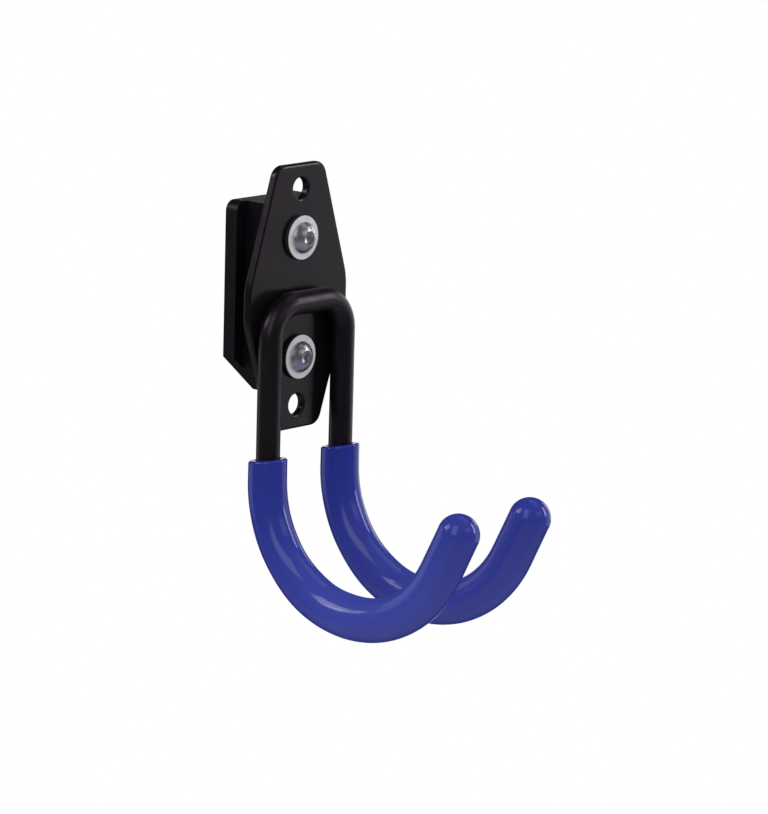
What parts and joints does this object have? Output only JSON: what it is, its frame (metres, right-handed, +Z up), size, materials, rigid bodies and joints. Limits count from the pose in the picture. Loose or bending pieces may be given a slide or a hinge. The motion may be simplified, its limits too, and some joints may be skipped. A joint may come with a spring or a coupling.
{
  "type": "garage utility hook",
  "caption": "Wall hook with a steel plate on a T-slot mounting block and one bent rod that forms a pair of upturned, sleeved J-shaped prongs.",
  "frame": {"origin": "centre of the mounting block's wall face, midway between the two screws", "axes": "+Z up, +Y into the wall, prongs reach towards -Y, +X to the right when facing the wall"},
  "size_m": [0.0505, 0.1107, 0.1505],
  "materials": {
    "plate_coat": "black satin powder coat on steel",
    "rod_coat": "black satin powder coat on steel",
    "sleeve_vinyl": "glossy blue vinyl",
    "block_nylon": "black moulded nylon",
    "screw_chrome": "bright plated steel",
    "washer_zinc": "matte zinc plate",
    "nut_zinc": "zinc plate"
  },
  "bodies": {
    "root": {"front_plate": "plate_coat", "hook_rod": "rod_coat", "sleeve_left": "sleeve_vinyl", "sleeve_right": "sleeve_vinyl", "weld_left": "rod_coat", "weld_right": "rod_coat", "mount_block": "block_nylon", "screw_upper": "screw_chrome", "screw_lower": "screw_chrome", "washer_upper": "washer_zinc", "washer_lower": "washer_zinc", "nut_upper": "nut_zinc", "nut_lower": "nut_zinc"}
  },
  "joints": []
}
